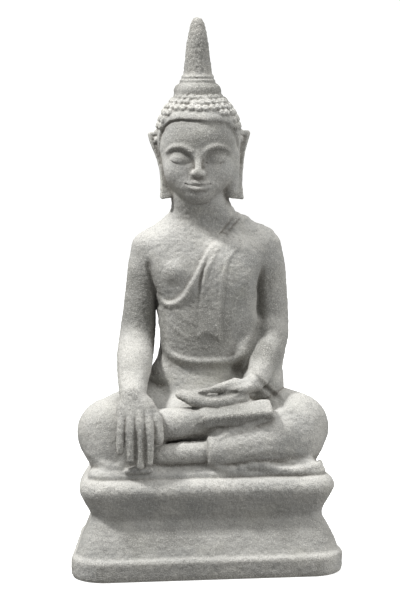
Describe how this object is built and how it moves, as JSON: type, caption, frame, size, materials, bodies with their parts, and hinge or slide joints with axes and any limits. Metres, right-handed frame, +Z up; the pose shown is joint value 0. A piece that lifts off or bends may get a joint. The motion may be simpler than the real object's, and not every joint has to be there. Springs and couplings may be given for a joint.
{
  "type": "seated buddha garden statue",
  "caption": "Seated buddha figure in cast stone, one hand lowered over the shin and one palm up in the lap, on a waisted two-tier pedestal that rests on a flat underside.",
  "frame": {"origin": "centre of the pedestal's flat underside, the face that the statue rests on", "axes": "+Z up along the figure, -Y the way the figure faces, +X towards the figure's left hand"},
  "size_m": [0.296, 0.196, 0.6],
  "materials": {
    "cast_stone": "coarse sandy cast stone, matt, pale grey with sandy dry-brushed ridges and brown recesses",
    "cast_stone_head": "coarse cast stone, matt, slightly darker grey",
    "mortar": "sand-cement mortar, matt",
    "steel_rod": "drawn stainless rod"
  },
  "bodies": {
    "root": {"pedestal_plinth": "cast_stone", "pedestal_cornice": "cast_stone", "seat_slab": "cast_stone", "crossed_legs": "cast_stone", "torso": "cast_stone", "right_arm": "cast_stone", "left_arm": "cast_stone", "head": "cast_stone_head", "crown_dome": "cast_stone_head", "spire": "cast_stone_head", "waist_mortar_bed": "mortar", "seat_mortar_bed": "mortar", "spine_rod": "steel_rod", "neck_dowel": "steel_rod", "finial_pin": "steel_rod", "right_shoulder_pin": "steel_rod", "left_shoulder_pin": "steel_rod", "seat_dowel_right": "steel_rod", "seat_dowel_left": "steel_rod", "pedestal_dowel_right": "steel_rod", "pedestal_dowel_left": "steel_rod"}
  },
  "joints": []
}
